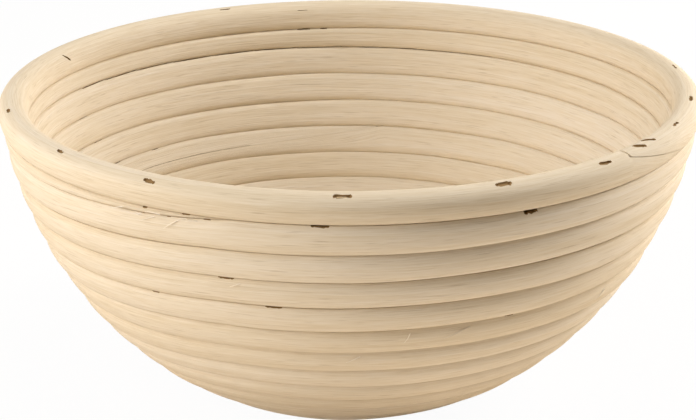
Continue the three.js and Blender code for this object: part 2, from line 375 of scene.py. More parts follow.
class Bowl:
    """The wall's meridian and the winding of the cane, worked out from the sizes."""

    def __init__(self, sizes):
        self.sizes = sizes
        self.pitch = sizes.cane_diameter + sizes.turn_gap
        radius = sizes.cane_diameter / 2
        rim = np.array([sizes.rim_diameter / 2 - radius, sizes.bowl_height - radius])
        base = np.array([sizes.base_diameter / 2 - radius, radius - sizes.stand_depth])
        rim_way = np.array([math.sin(sizes.rim_lean), math.cos(sizes.rim_lean)])
        base_way = np.array([math.sin(sizes.base_lean), math.cos(sizes.base_lean)])
        t = np.linspace(0, 1, WALL_POINTS)[:, None]
        wall = (1 - t) ** 3 * rim
        wall = wall + 3 * (1 - t) ** 2 * t * (rim - sizes.rim_handle * rim_way)
        wall = wall + 3 * (1 - t) * t ** 2 * (base + sizes.base_handle * base_way)
        wall = wall + t ** 3 * base
        self.path = np.vstack([rim + self.pitch * rim_way, wall, [0, base[1]]])
        steps = np.linalg.norm(np.diff(self.path, axis=0), axis=1)
        self.reach = np.concatenate([[0], np.cumsum(steps)]) - self.pitch
        self.winding_end = self.find_end()

    def meridian(self, s):
        """Radius and height at distances down the wall."""
        return np.interp(s, self.reach, self.path[:, 0]), np.interp(s, self.reach, self.path[:, 1])

    def places(self, angles, s):
        """Points of the wall with the directions down the wall and out through it."""
        r, z = self.meridian(s)
        r_up, z_up = self.meridian(s - self.pitch / 2)
        r_down, z_down = self.meridian(s + self.pitch / 2)
        run = np.stack([r_down - r_up, z_down - z_up])
        run = run / np.linalg.norm(run, axis=0)
        cosine = np.cos(angles)
        sine = np.sin(angles)
        shift = self.sizes.base_shift * (1 - z / self.sizes.bowl_height)
        points = np.stack([r * cosine + shift, r * sine, z], -1)
        down = np.stack([run[0] * cosine, run[0] * sine, run[1]], -1)
        out = np.stack([-run[1] * cosine, -run[1] * sine, run[0]], -1)
        return points, down, out

    def turns(self, winding):
        """Turns wound at an angle of winding, counted from the tongue's tip down the wall."""
        turns = np.maximum(winding, 0) / FULL_TURN
        part = turns % 1
        return turns + self.sizes.tongue_crowding * part * (1 - part) ** 2

    def angles(self, winding):
        """The angle round the bowl at an angle of winding."""
        return self.sizes.tongue_angle - winding

    def rim_shift(self, angles):
        """The rim ring doesn't lie quite level on the turns below it."""
        return self.sizes.rim_tilt * np.sin(angles) - self.sizes.rim_bend * np.cos(2 * angles)

    def rim_top(self, angles):
        """Height of the rim's rounded top above its middle."""
        return self.sizes.rim_crest + self.sizes.rim_crest_change * np.sin(angles)

    def bottom(self, winding):
        """The lower seam of the turn at an angle of winding."""
        eased = np.clip(winding / self.sizes.tongue_ease, 0, 1)
        eased = eased * eased * (3 - 2 * eased)
        wander = self.sizes.press_wander * eased * wandering(winding, SEAM_SEED, SEAM_WAVES)
        under_rim = (1 - eased) * self.rim_shift(self.angles(winding))
        behind_tip = np.maximum(winding + self.sizes.tongue_lead, 0) / self.sizes.tongue_bulge_arc
        bulge = self.sizes.tongue_bulge * behind_tip * np.exp(1 - behind_tip)
        return self.pitch / 2 + self.pitch * self.turns(winding) + bulge + wander + under_rim

    def top(self, winding):
        """The upper seam of the turn at an angle of winding."""
        under_rim = self.pitch / 2 + self.rim_shift(self.angles(winding))
        first = winding < FULL_TURN - self.sizes.tongue_lead
        return np.where(first, under_rim, self.bottom(winding - FULL_TURN))

    def middle(self, winding):
        """The middle of the turn at an angle of winding."""
        return (self.top(winding) + self.bottom(winding)) / 2

    def winding_at(self, turn, angle):
        """The angle of winding of a turn at an angle round the bowl; turn 1 lies under the rim."""
        return (self.sizes.tongue_angle - angle) % FULL_TURN + FULL_TURN * (turn - 1)

    def seam_above(self, turn, angle):
        """The seam above a turn at an angle round the bowl."""
        return float(self.top(np.array(self.winding_at(turn, angle))))

    def scarf_share(self, angles):
        """Share of the rim's height that lies above the scarf's seam."""
        along = (angles - self.sizes.rim_scarf_angle) / self.sizes.rim_scarf_arc
        blunt = self.sizes.rim_scarf_blunt
        return np.where(along < 0, 0, np.clip(blunt + (1 - blunt) * along, 0, 1))

    def find_end(self):
        """The winding ends where the cane reaches the eye of the base."""
        last = self.reach[-1] - self.sizes.eye_diameter / 2
        tries = np.arange(FULL_TURN, MOST_TURNS * FULL_TURN, EYE_STEP)
        return float(tries[np.argmax(self.pitch / 2 + self.pitch * self.turns(tries) >= last)])


def wandering(along, seed, wavelengths):
    """A slow drift between about -1 and 1, the same each time for a seed."""
    random = np.random.default_rng(seed)
    total = np.zeros_like(np.asarray(along, float))
    for wavelength in wavelengths:
        total = total + np.sin(FULL_TURN * along / wavelength + random.uniform(0, FULL_TURN))
    return total / len(wavelengths) ** WAVES_POWER


def ring_windings(bowl, first, last):
    """Angles of winding from first to last, a ring step apart along the cane."""
    steps = [first]
    while steps[-1] < last:
        radius, _ = bowl.meridian(bowl.middle(np.array(steps[-1])))
        steps.append(steps[-1] + RING_STEP / max(float(radius), LEAST_RING_RADIUS))
    steps[-1] = last
    return np.array(steps)


def section(share, power):
    """Share of a rounded section's half width at a share of its half height; a power of 2 is a circle."""
    return np.clip(1 - np.abs(share) ** power, 0, 1) ** (1 / power)


def cane_mesh(name, bowl, windings, angles, turn, cut, seed, crest=None):
    """One unbroken cane: a rounded section pressed flat by its neighbours, and cut where it is spliced.

    turn holds the seams above and below the whole turn, and cut the part of it that this cane fills.
    crest is the height of a rounded top that has no neighbour above it.
    """
    top, bottom = turn
    upper, lower = cut
    below = bowl.sizes.squareness
    above = below if crest is None else bowl.sizes.rim_roundness
    reach = section(bowl.sizes.pressed, below)
    half = (bottom - top) / 2 if crest is None else np.full_like(top, bowl.pitch / 2)
    # A thin end lies back between its neighbours and only a full turn bulges past them.
    bulging = np.clip(half / (FULL_BULGE * bowl.pitch), 0, 1) ** BULGE_POWER
    full = bowl.sizes.pressed + (1 - bowl.sizes.pressed) * bulging
    half_depth = bowl.sizes.cane_depth / 2 * full[:, None]
    middle = bottom - half
    tall_above = half / reach if crest is None else crest
    tall_below = half / reach

    def section_angle(height):
        """The angle round the section at a height below its middle."""
        share = np.clip(height / np.where(height < 0, tall_above, tall_below), -1, 1)
        return np.arcsin(np.sign(share) * np.abs(share) ** (np.where(height < 0, above, below) / 2))

    high = section_angle(upper + bowl.sizes.seam / 2 - middle)
    low = section_angle(lower - bowl.sizes.seam / 2 - middle)
    turned = high[:, None] + (low - high)[:, None] * np.linspace(0, 1, ARC_STEPS + 1)
    power = np.where(turned < 0, above, below)
    deep = half_depth * np.maximum(np.cos(turned), 0) ** (2 / power)
    tall = np.where(turned < 0, tall_above[:, None], tall_below[:, None])
    high_side = tall * np.sign(turned) * np.abs(np.sin(turned)) ** (2 / power)
    # The face inside the bowl is worn flatter, apart from the rim's rounded top.
    inside = bowl.sizes.inside_squareness
    flat_reach = section(bowl.sizes.inside_pressed, inside)
    worn = half_depth * section(high_side / half[:, None] * flat_reach, inside)
    inner = worn if crest is None else np.where(turned < 0, deep, worn)
    across = np.linspace(0, 1, FLAT_POINTS + 2)[1:-1]
    low_flat = deep[:, -1:] - (deep + inner)[:, -1:] * across
    high_flat = -inner[:, :1] + (deep + inner)[:, :1] * across
    outward = np.hstack([deep, low_flat, -inner[:, ::-1], high_flat])
    downward = np.hstack([
        high_side, np.repeat(high_side[:, -1:], FLAT_POINTS, 1),
        high_side[:, ::-1], np.repeat(high_side[:, :1], FLAT_POINTS, 1),
    ])
    outward = outward + bowl.sizes.wall_wander * wandering(windings, seed, WALL_WAVES)[:, None]
    points, down, out = bowl.places(angles, middle)
    corners = points[:, None] + outward[..., None] * out[:, None] + downward[..., None] * down[:, None]
    # The base is worn flat where it stands.
    corners[..., 2] = np.maximum(corners[..., 2], 0)
    rings, sides = outward.shape
    ring = np.arange(rings - 1)[:, None]
    side = np.arange(sides)[None, :]
    after = (side + 1) % sides
    quads = np.stack([
        ring * sides + side, (ring + 1) * sides + side,
        (ring + 1) * sides + after, ring * sides + after,
    ], -1).reshape(-1, 4)
    first_cap = list(range(sides))
    last_cap = [(rings - 1) * sides + i for i in reversed(range(sides))]
    mesh = bpy.data.meshes.new(name)
    mesh.from_pydata(corners.reshape(-1, 3).tolist(), [], quads.tolist() + [first_cap, last_cap])
    add_grain(mesh, points, sides, GIRTH * bowl.sizes.cane_depth, seed)
    return mesh


def add_grain(mesh, points, sides, girth, seed):
    """Each corner of a cane's faces keeps how far it lies along and around the cane, for the grain."""
    steps = np.linalg.norm(np.diff(points, axis=0), axis=1)
    along = np.concatenate([[0], np.cumsum(steps)])
    side = np.arange(sides)
    quad_along = np.stack([along[:-1], along[1:], along[1:], along[:-1]], -1)
    quad_around = np.stack([side, side, side + 1, side + 1], -1) * girth / sides
    along_all = np.repeat(quad_along[:, None], sides, 1).reshape(-1)
    around_all = np.repeat(quad_around[None], len(points) - 1, 0).reshape(-1)
    cap_around = side * girth / sides
    along_all = np.concatenate([along_all, np.full(sides, along[0]), np.full(sides, along[-1])])
    around_all = np.concatenate([around_all, cap_around, cap_around[::-1]])
    grain = np.stack([along_all, around_all, np.full_like(along_all, seed * GRAIN_APART)], -1)
    made = mesh.attributes.new("grain", "FLOAT_VECTOR", "CORNER")
    made.data.foreach_set("vector", grain.astype(np.float32).ravel())


def add_piece(mesh, material, node):
    """A piece of the basket that stands for a node of the model."""
    piece = bpy.data.objects.new(mesh.name, mesh)
    bpy.context.scene.collection.objects.link(piece)
    mesh.materials.append(material)
    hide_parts(node)
    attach(piece, "root")


def add_node(tree, kind, inputs, **settings):
    """Adds a shader node with its settings, and sets or links its inputs by name or number."""
    made = tree.nodes.new("ShaderNode" + kind)
    for name, value in settings.items():
        setattr(made, name, value)
    for name, value in inputs.items():
        if isinstance(value, bpy.types.NodeSocket):
            tree.links.new(value, made.inputs[name])
        else:
            made.inputs[name].default_value = value
    return made


def new_material(name):
    """An empty material and its node tree."""
    made = bpy.data.materials.new(name)
    made.use_nodes = True
    made.node_tree.nodes.clear()
    return made, made.node_tree


def grain_noise(tree, grain, along, around, detail):
    """Noise drawn out along the cane: the size of its streaks along and around it."""
    scaled = add_node(tree, "VectorMath", {0: grain, 1: (1 / along, 1 / around, 1)}, operation="MULTIPLY")
    noise = add_node(tree, "TexNoise", {"Vector": scaled.outputs[0], "Scale": 1, "Detail": detail})
    return noise.outputs["Fac"]


def rattan_material():
    """Rattan core cane, peeled, bleached and sanded.

    It is a bundle of straight fibres, so the eye sees a matt pale surface with fine streaks along the
    cane, short dark pores between them and a slow drift from paler to deeper lengths.
    """
    name = "Rattan core cane peeled and sanded"
    if name in bpy.data.materials:
        return bpy.data.materials[name]
    finish = bpy.context.scene.basket_finish
    made, tree = new_material(name)
    grain = add_node(tree, "Attribute", {}, attribute_name="grain").outputs["Vector"]
    # Single fibres are about 0.3 mm across, and bundles of them about 1.3 mm.
    fibres = grain_noise(tree, grain, 11 * MM, 0.32 * MM, 2)
    bundles = grain_noise(tree, grain, 110 * MM, 1.3 * MM, 2)
    lengths = grain_noise(tree, grain, 260 * MM, 24 * MM, 1)
    pores = grain_noise(tree, grain, 9 * MM, 0.3 * MM, 1)
    # Fibres, bundles and whole lengths each shift the tone by their share, about the ramp's middle.
    tone = 0.13
    for streaks, share in ((fibres, 0.29), (bundles, 0.2), (lengths, 0.25)):
        tone = add_node(tree, "Math", {0: streaks, 1: share, 2: tone}, operation="MULTIPLY_ADD").outputs[0]
    ramp = add_node(tree, "ValToRGB", {"Fac": tone})
    ramp.color_ramp.elements[0].position = 0.34
    ramp.color_ramp.elements[0].color = (*finish.cane_deep, 1)
    ramp.color_ramp.elements[1].position = 0.66
    ramp.color_ramp.elements[1].color = (*finish.cane_pale, 1)
    ramp.color_ramp.elements.new(0.5).color = (*finish.cane_middle, 1)
    # Pores open where their noise is low, and the deepest take a third of the pores' own colour.
    open_pore = add_node(tree, "MapRange", {
        "Value": pores, "From Min": 0.38, "From Max": 0.25, "To Min": 0, "To Max": 0.34})
    base = add_node(tree, "Mix", {
        MIX_FACTOR: open_pore.outputs[0], MIX_FIRST: ramp.outputs[0], MIX_SECOND: (*finish.pore, 1),
    }, data_type="RGBA")
    height = add_node(tree, "Math", {0: fibres, 1: bundles}, operation="ADD").outputs[0]
    bump = add_node(tree, "Bump", {"Height": height, "Strength": 0.7, "Distance": 0.16 * MM})
    shader = add_node(tree, "BsdfPrincipled", {
        "Base Color": base.outputs[MIX_RESULT], "Roughness": 0.85, "IOR": 1.45, "Specular IOR Level": 0,
        "Normal": bump.outputs[0],
    })
    add_node(tree, "OutputMaterial", {"Surface": shader.outputs[0]})
    return made


def slot_material():
    """Rattan fibre torn by a driven staple, in a dark brown that partly paints the shade inside the slot:
    rough and almost without shine.
    """
    finish = bpy.context.scene.basket_finish
    made, tree = new_material("Slot inside with torn fibre and painted shade")
    place = add_node(tree, "TexCoord", {}).outputs["Object"]
    # Torn ends of fibre are about half a millimetre across.
    torn = add_node(tree, "TexNoise", {"Vector": place, "Scale": 1 / (0.5 * MM), "Detail": 2})
    base = add_node(tree, "Mix", {
        MIX_FACTOR: torn.outputs["Fac"], MIX_FIRST: (*finish.slot, 1), MIX_SECOND: (*finish.pore, 1),
    }, data_type="RGBA")
    shader = add_node(tree, "BsdfPrincipled", {
        "Base Color": base.outputs[MIX_RESULT], "Roughness": 0.9, "IOR": 1.45, "Specular IOR Level": 0.15,
    })
    add_node(tree, "OutputMaterial", {"Surface": shader.outputs[0]})
    return made


def fibre_material():
    """Single rattan fibres frayed off the cane: pale, dry and matt."""
    finish = bpy.context.scene.basket_finish
    made, tree = new_material("Rattan fibre frayed")
    place = add_node(tree, "TexCoord", {}).outputs["Object"]
    # A fibre changes colour over some 3 mm.
    drift = add_node(tree, "TexNoise", {"Vector": place, "Scale": 1 / (3 * MM), "Detail": 1})
    base = add_node(tree, "Mix", {
        MIX_FACTOR: drift.outputs["Fac"], MIX_FIRST: (*finish.cane_pale, 1), MIX_SECOND: (*finish.fibre, 1),
    }, data_type="RGBA")
    shader = add_node(tree, "BsdfPrincipled", {
        "Base Color": base.outputs[MIX_RESULT], "Roughness": 0.8, "IOR": 1.45, "Specular IOR Level": 0.2,
    })
    add_node(tree, "OutputMaterial", {"Surface": shader.outputs[0]})
    return made


def steel_material():
    """Drawn steel wire, dulled by flour and damp: grey brown and half shiny, with duller patches."""
    finish = bpy.context.scene.basket_finish
    made, tree = new_material("Drawn steel wire dulled")
    place = add_node(tree, "TexCoord", {}).outputs["Object"]
    # Dull patches on the wire are about 0.8 mm across.
    noise = add_node(tree, "TexNoise", {"Vector": place, "Scale": 1 / (0.8 * MM), "Detail": 2})
    patches = noise.outputs["Fac"]
    rough = add_node(tree, "MapRange", {
        "Value": patches, "From Min": 0.3, "From Max": 0.7, "To Min": 0.35, "To Max": 0.6})
    base = add_node(tree, "Mix", {
        MIX_FACTOR: patches, MIX_FIRST: (*finish.steel, 1), MIX_SECOND: (*finish.pore, 1),
    }, data_type="RGBA")
    shader = add_node(tree, "BsdfPrincipled", {
        "Base Color": base.outputs[MIX_RESULT], "Metallic": 1, "Roughness": rough.outputs[0],
    })
    add_node(tree, "OutputMaterial", {"Surface": shader.outputs[0]})
    return made


def splice_span(bowl):
    """Angles of winding where the splice's slanting cut begins and ends."""
    first = bowl.sizes.splice_turns * FULL_TURN
    return first, first + bowl.sizes.splice_arc


def splice_share(bowl, windings):
    """Share of the turn's height above the splice's seam, which runs almost level in the middle."""
    first, last = splice_span(bowl)
    along = 2 * np.clip((windings - first) / (last - first), 0, 1) - 1
    level = bowl.sizes.splice_level
    return level - np.where(along < 0, 1 - level, level) * along ** 3


def splice_cut(bowl, windings):
    """The seam of the splice, which crosses the turn from its lower to its upper side."""
    top = bowl.top(windings)
    return top + (bowl.bottom(windings) - top) * splice_share(bowl, windings)


class BASKET_OT_base_cane(bpy.types.Operator):
    """Winds the base cane from the splice down the wall and in to the eye of the base"""

    bl_idname = "basket.base_cane"
    bl_label = "Wind base cane"

    def execute(self, context):
        sizes = context.scene.basket_sizes
        bowl = Bowl(sizes)
        first, _ = splice_span(bowl)
        windings = ring_windings(bowl, first + SPLICE_END, bowl.winding_end)
        top = bowl.top(windings)
        bottom = bowl.bottom(windings)
        thinnest = sizes.tip_thickness / bowl.pitch
        left = np.clip((bowl.winding_end - windings) / sizes.eye_taper, thinnest, 1)
        bottom = top + (bottom - top) * left
        upper = np.maximum(top, splice_cut(bowl, windings))
        mesh = cane_mesh(
            "base_cane_wound", bowl, windings, bowl.angles(windings),
            (top, bottom), (upper, bottom), BASE_SEED)
        add_piece(mesh, rattan_material(), "base_cane")
        return {"FINISHED"}


class BASKET_OT_wall_cane(bpy.types.Operator):
    """Winds the wall cane from the tip of its tongue under the rim down to the splice"""

    bl_idname = "basket.wall_cane"
    bl_label = "Wind wall cane"

    def execute(self, context):
        sizes = context.scene.basket_sizes
        bowl = Bowl(sizes)
        first, last = splice_span(bowl)
        tries = np.arange(-sizes.tongue_lead, TIP_REACH, TIP_STEP)
        tip = tries[np.argmax(bowl.bottom(tries) - bowl.top(tries) > sizes.tip_thickness)]
        windings = ring_windings(bowl, float(tip), last - SPLICE_END)
        top = bowl.top(windings)
        bottom = bowl.bottom(windings)
        lower = np.where(windings > first, splice_cut(bowl, windings), bottom)
        mesh = cane_mesh(
            "wall_cane_wound", bowl, windings, bowl.angles(windings),
            (top, bottom), (top, lower), WALL_SEED)
        add_piece(mesh, rattan_material(), "wall_cane")
        return {"FINISHED"}


class BASKET_OT_rim_cane(bpy.types.Operator):
    """Bends the rim cane into a ring whose two ends lie over each other in a scarf"""

    bl_idname = "basket.rim_cane"
    bl_label = "Bend rim cane"

    def execute(self, context):
        sizes = context.scene.basket_sizes
        bowl = Bowl(sizes)
        start = sizes.rim_scarf_angle
        arc = sizes.rim_scarf_arc
        count = round((FULL_TURN + arc) * sizes.rim_diameter / 2 / RING_STEP)
        whole = np.linspace(start + sizes.rim_scarf_gap, start + FULL_TURN + RIM_END * arc, count)
        step = start + FULL_TURN + np.array([-1, 1]) * RIM_STEP
        angles = np.sort(np.concatenate([whole, step]))[::-1]
        middle = bowl.rim_shift(angles)
        crest = bowl.rim_top(angles)
        bottom = middle + bowl.pitch / 2
        height = crest + bowl.pitch / 2
        over = bowl.scarf_share(angles)
        under = bowl.scarf_share(angles - FULL_TURN)
        lower = middle - crest + height * over - sizes.rim_scarf_seam / 2 * (over < 1)
        upper = middle - crest + height * under + sizes.rim_scarf_seam / 2 * (under > 0)
        mesh = cane_mesh(
            "rim_cane_bent", bowl, angles, angles,
            (middle - crest, bottom), (upper, lower), RIM_SEED, crest)
        add_piece(mesh, rattan_material(), "rim_cane")
        return {"FINISHED"}


def rim_place(bowl, angle, out):
    """A point on the rim's top and the directions along the rim, across its surface and out of it."""
    shift = bowl.rim_shift(np.array([angle]))
    crest = float(bowl.rim_top(angle))
    points, down, outward = (part[0] for part in bowl.places(np.array([angle]), shift))
    deep = bowl.sizes.cane_depth / 2
    power = bowl.sizes.rim_roundness
    rise = section(out / deep, power)
    lean_out = math.copysign(abs(out / deep) ** (power - 1) / deep, out)
    lean_up = rise ** (power - 1) / crest
    tilt = np.array([lean_out, lean_up])
    tilt = tilt / np.linalg.norm(tilt)
    normal = outward * tilt[0] - down * tilt[1]
    along = np.array([-math.sin(angle), math.cos(angle), 0])
    return points + outward * out - down * crest * rise, along, np.cross(normal, along), normal


def torn_slot(centre, along, across, outward, size, random):
    """Corners and faces of a ragged slot; size holds its length, width, depth and rise."""
    slot_length, width, depth, rise = size
    turned = np.linspace(0, FULL_TURN, SLOT_POINTS, endpoint=False)
    ragged = np.clip(random.normal(1, SLOT_RAGGED, SLOT_POINTS), *SLOT_RAGGED_LIMITS)
    x = slot_length / 2 * np.sign(np.cos(turned)) * np.abs(np.cos(turned)) ** SLOT_POWER
    y = width / 2 * np.sign(np.sin(turned)) * np.abs(np.sin(turned)) ** SLOT_POWER * ragged
    corners = []
    for spread, narrow, level in ((1, 1, rise), (1, 1, 0), (*SLOT_FLOOR, -depth)):
        corners.append(
            centre + np.outer(x * spread, along) + np.outer(y * narrow, across) + outward * level)
    count = SLOT_POINTS
    faces = [list(range(count)), list(range(3 * count - 1, 2 * count - 1, -1))]
    for first in (0, count):
        after = [first + (i + 1) % count for i in range(count)]
        faces += [[first + i, first + i + count, after[i] + count, after[i]] for i in range(count)]
    return np.vstack(corners), faces


def staple_wire(name, crown, along, across, down, sizes):
    """A staple of round wire: crown, two rounded corners and two legs."""
    bend = WIRE_BEND * sizes.wire
    half = sizes.crown / 2 - sizes.wire / 2
    turned = np.linspace(0, math.pi / 2, WIRE_BEND_POINTS)
    corner = np.stack([half - bend + bend * np.sin(turned), bend - bend * np.cos(turned)], -1)
    side = np.vstack([corner, [half, sizes.leg]])
    path = np.vstack([side[::-1] * [-1, 1], side])
    ways = np.gradient(path, axis=0)
    ways = ways / np.linalg.norm(ways, axis=1)[:, None]
    turned = np.linspace(0, FULL_TURN, WIRE_SIDES, endpoint=False)
    corners = []
    for (x, y), (way_x, way_y) in zip(path, ways):
        sideways = along * -way_y + down * way_x
        ring = np.outer(np.cos(turned), sideways) + np.outer(np.sin(turned), across)
        corners.append(crown + along * x + down * y + ring * sizes.wire / 2)
    sides = WIRE_SIDES
    faces = [list(range(sides - 1, -1, -1)), list(range((len(path) - 1) * sides, len(path) * sides))]
    for i in range(len(path) - 1):
        for j in range(sides):
            after = (j + 1) % sides
            faces.append([i * sides + j, i * sides + after, (i + 1) * sides + after, (i + 1) * sides + j])
    mesh = bpy.data.meshes.new(name)
    mesh.from_pydata(np.vstack(corners).tolist(), [], faces)
    mesh.shade_smooth()
    return mesh


class BASKET_OT_staples(bpy.types.Operator):
    """Drives the staples into the rim and cuts the slots that they and their neighbours have torn"""

    bl_idname = "basket.staples"
    bl_label = "Sink staples"

    def execute(self, context):
        bowl = Bowl(context.scene.basket_sizes)
        steel = steel_material()
        random = np.random.default_rng(SLOT_SEED)
        slots = []
        for name, node in sorted(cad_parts.items()):
            if "staple" not in name:
                continue
            node.data.materials.clear()
            node.data.materials.append(steel)
            if name.startswith("rim"):
                slots += sink_rim_staple(bowl, name, node, steel, random)
        for turn, degrees, side, slot_length, height in GROOVE_SLOTS:
            size = (slot_length * MM, height * MM)
            slots.append(groove_slot(bowl, turn, math.radians(degrees), side, size, random))
        corners, faces = join(slots + splice_slots(bowl, random))
        cutter_mesh = bpy.data.meshes.new("staple_slots")
        cutter_mesh.from_pydata(corners, [], faces)
        # The insides of the slots, seam slits and splice openings take a dark brown that is partly painted
        # shade.
        cutter_mesh.materials.append(slot_material())
        cutter = bpy.data.objects.new("staple_slots", cutter_mesh)
        context.scene.collection.objects.link(cutter)
        for name in ("rim_cane_bent", "wall_cane_wound", "base_cane_wound"):
            cut_slots(bpy.data.objects[name], cutter)
        bpy.data.objects.remove(cutter)
        return {"FINISHED"}


def sink_rim_staple(bowl, name, node, steel, random):
    """Puts a wire staple in the place of its node, and gives back the slot that it has torn, if any."""
    centre = np.mean([corner.co for corner in node.data.vertices], axis=0)
    angle, out, slant, slot_length, width, sink = rim_slot(math.atan2(centre[1], centre[0]))
    place, way, side, normal = rim_place(bowl, angle, out)
    along = way * math.cos(slant) - side * math.sin(slant)
    across = side * math.cos(slant) + way * math.sin(slant)
    slots = []
    if width:
        size = (slot_length, width, RIM_SLOT_DEPTH, RIM_SLOT_RISE)
        slots.append(torn_slot(place, along, across, normal, size, random))
    place, _, _, normal = rim_place(bowl, angle, min(max(out, -CROWN_LIMIT), CROWN_LIMIT))
    _, down, _ = bowl.places(np.array([angle]), np.array([0.0]))
    down = down[0] - along * (down[0] @ along)
    down = down / np.linalg.norm(down)
    crown = place - normal * (sink + bowl.sizes.wire / 2)
    mesh = staple_wire(name + "_wire", crown, along, np.cross(along, down), down, bowl.sizes)
    add_piece(mesh, steel, name)
    return slots


def rim_slot(angle):
    """Place, slant and slot of the rim staple at an angle.

    The slot is given by its length, its width and the depth of the crown in it. One that the cane has
    closed over has no width.
    """
    for degrees, out, slant, slot_length, width, sink in RIM_SLOTS:
        away = (math.radians(degrees) - angle + math.pi) % FULL_TURN - math.pi
        if abs(away) < STAPLE_MATCH:
            size = (slot_length * MM, width * MM, sink * MM)
            return math.radians(degrees), out * MM, math.radians(slant), *size
    return angle, 0.0, 0.0, 0.0, 0.0, CLOSED_SINK


def groove_slot(bowl, turn, angle, side, size, random):
    """A slot in the groove above a turn, on the outside (side 1) or the inside (side -1) of the wall."""
    slot_length, height = size
    level = bowl.seam_above(turn, angle) + GROOVE_SLOT_DROP * height
    points, down, outward = (part[0] for part in bowl.places(np.array([angle]), np.array([level])))
    outward = outward * side
    pressed = bowl.sizes.pressed if side > 0 else bowl.sizes.inside_pressed
    place = points + outward * pressed * bowl.sizes.cane_depth / 2
    along = np.cross(down, outward)
    size = (slot_length, height, GROOVE_SLOT_DEPTH * height, GROOVE_SLOT_RISE)
    return torn_slot(place, along, down, outward, size, random)


def splice_slots(bowl, random):
    """Openings along the splice on the inside of the wall, where its cut faces don't quite meet."""
    first, last = splice_span(bowl)
    shares = np.linspace(*OPENING_SHARES, OPENINGS)
    turned = (last - first) * (shares[1] - shares[0])
    power = bowl.sizes.inside_squareness
    reach = section(bowl.sizes.inside_pressed, power)
    slots = []
    for winding in first + (last - first) * shares:
        near = winding + OPENING_STEP * np.array([-1, 0, 1])
        points, _, outward = bowl.places(bowl.angles(near), splice_cut(bowl, near))
        way = points[2] - points[0]
        along = way / np.linalg.norm(way)
        rise = section((2 * splice_share(bowl, winding) - 1) * reach, power)
        place = points[1] - outward[1] * rise * bowl.sizes.cane_depth / 2
        spacing = turned * np.linalg.norm(way) / (2 * OPENING_STEP)
        size = (OPENING_OVERLAP * spacing, OPENING_WIDTH, OPENING_DEPTH, OPENING_RISE)
        slots.append(torn_slot(place, along, np.cross(along, outward[1]), -outward[1], size, random))
    return slots


def frayed_fibre(bowl, turn, angle, share, fibre_length, slant, random):
    """Corners and faces of one fibre that has come off the surface: a thin three-sided spike."""
    winding = np.array(bowl.winding_at(turn, angle))
    top = float(bowl.top(winding))
    bottom = float(bowl.bottom(winding))
    power = bowl.sizes.squareness
    reach = section(bowl.sizes.pressed, power)
    bow = random.uniform(0, FIBRE_BOW)
    along = np.linspace(0, 1, FIBRE_POINTS)
    middle = np.full_like(along, (top + bottom) / 2)
    start = bowl.places(np.array([angle]), middle[:1])[0][0]
    angles = angle - math.cos(slant) * fibre_length * along / math.hypot(start[0], start[1])
    drop = (math.sin(slant) * along + bow * along * along) * fibre_length / (bottom - top)
    shares = np.clip(share + drop, *FIBRE_LIMITS)
    # The fibre follows the bulge of its turn, and lifts off it along its length.
    rise = bowl.sizes.cane_depth / 2 * section((2 * shares - 1) * reach, power)
    rise = rise + FIBRE_LIFT * along * (FIBRE_LIFT_END - along) - FIBRE_ROOT
    points, down, outward = bowl.places(angles, middle)
    centres = points + down * ((shares - 0.5) * (bottom - top))[:, None] + outward * rise[:, None]
    ways = np.gradient(centres, axis=0)
    ways = ways / np.linalg.norm(ways, axis=1)[:, None]
    corners = []
    for centre, way, out, radius in zip(centres, ways, outward, FIBRE_RADIUS * (1 - FIBRE_TAPER * along)):
        sideways = np.cross(out, way)
        for turned in FIBRE_CORNERS:
            corners.append(centre + radius * (out * math.cos(turned) + sideways * math.sin(turned)))
    sides = len(FIBRE_CORNERS)
    tip = len(corners) - sides
    faces = [list(range(sides)), list(range(len(corners) - 1, tip - 1, -1))]
    for ring in range(0, tip, sides):
        for i in range(sides):
            after = ring + (i + 1) % sides
            faces.append([ring + i, ring + i + sides, after + sides, after])
    return np.array(corners), faces


class BASKET_OT_frayed_fibres(bpy.types.Operator):
    """Raises the few fibres that have frayed off the outside of the turns"""

    bl_idname = "basket.frayed_fibres"
    bl_label = "Fray fibres"

    def execute(self, context):
        bowl = Bowl(context.scene.basket_sizes)
        random = np.random.default_rng(FIBRE_SEED)
        places = [(turn, math.radians(degrees), share, millimetres * MM, math.radians(slant))
                  for turn, degrees, share, millimetres, slant in FRAYED]
        for _ in range(FRAYED_ELSEWHERE):
            turn = int(random.integers(*CHANCE_TURNS))
            angle = random.uniform(0, math.pi)
            share = random.uniform(*CHANCE_SHARES)
            fibre_length = random.uniform(*CHANCE_LENGTHS) * MM
            slant = random.uniform(*CHANCE_SLANTS)
            places.append((turn, angle, share, fibre_length, slant))
        corners, faces = join([frayed_fibre(bowl, *place, random) for place in places])
        mesh = bpy.data.meshes.new("frayed_fibres")
        mesh.from_pydata(corners, [], faces)
        fibres = bpy.data.objects.new("frayed_fibres", mesh)
        context.scene.collection.objects.link(fibres)
        mesh.materials.append(fibre_material())
        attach(fibres, "root")
        return {"FINISHED"}


def join(shapes):
    """Corners and faces of many shapes as one list of each."""
    corners = []
    faces = []
    for made, sides in shapes:
        faces += [[i + len(corners) for i in face] for face in sides]
        corners += made.tolist()
    return corners, faces


def cut_slots(cane, cutter):
    """Cuts the slots out of a cane and keeps the result as its mesh."""
    cut = cane.modifiers.new("Staple slots", "BOOLEAN")
    cut.operation = "DIFFERENCE"
    cut.solver = "MANIFOLD"
    cut.material_mode = "TRANSFER"
    cut.object = cutter
    graph = bpy.context.evaluated_depsgraph_get()
    mesh = bpy.data.meshes.new_from_object(cane.evaluated_get(graph))
    whole = cane.data
    if len(mesh.polygons) <= len(whole.polygons):
        raise RuntimeError(cane.name + " has no slots after the cut")
    cane.modifiers.clear()
    cane.data = mesh
    bpy.data.meshes.remove(whole)
    mesh.name = cane.name
    mesh.shade_smooth()
    mesh.set_sharp_from_angle(angle=SHARP_ANGLE)


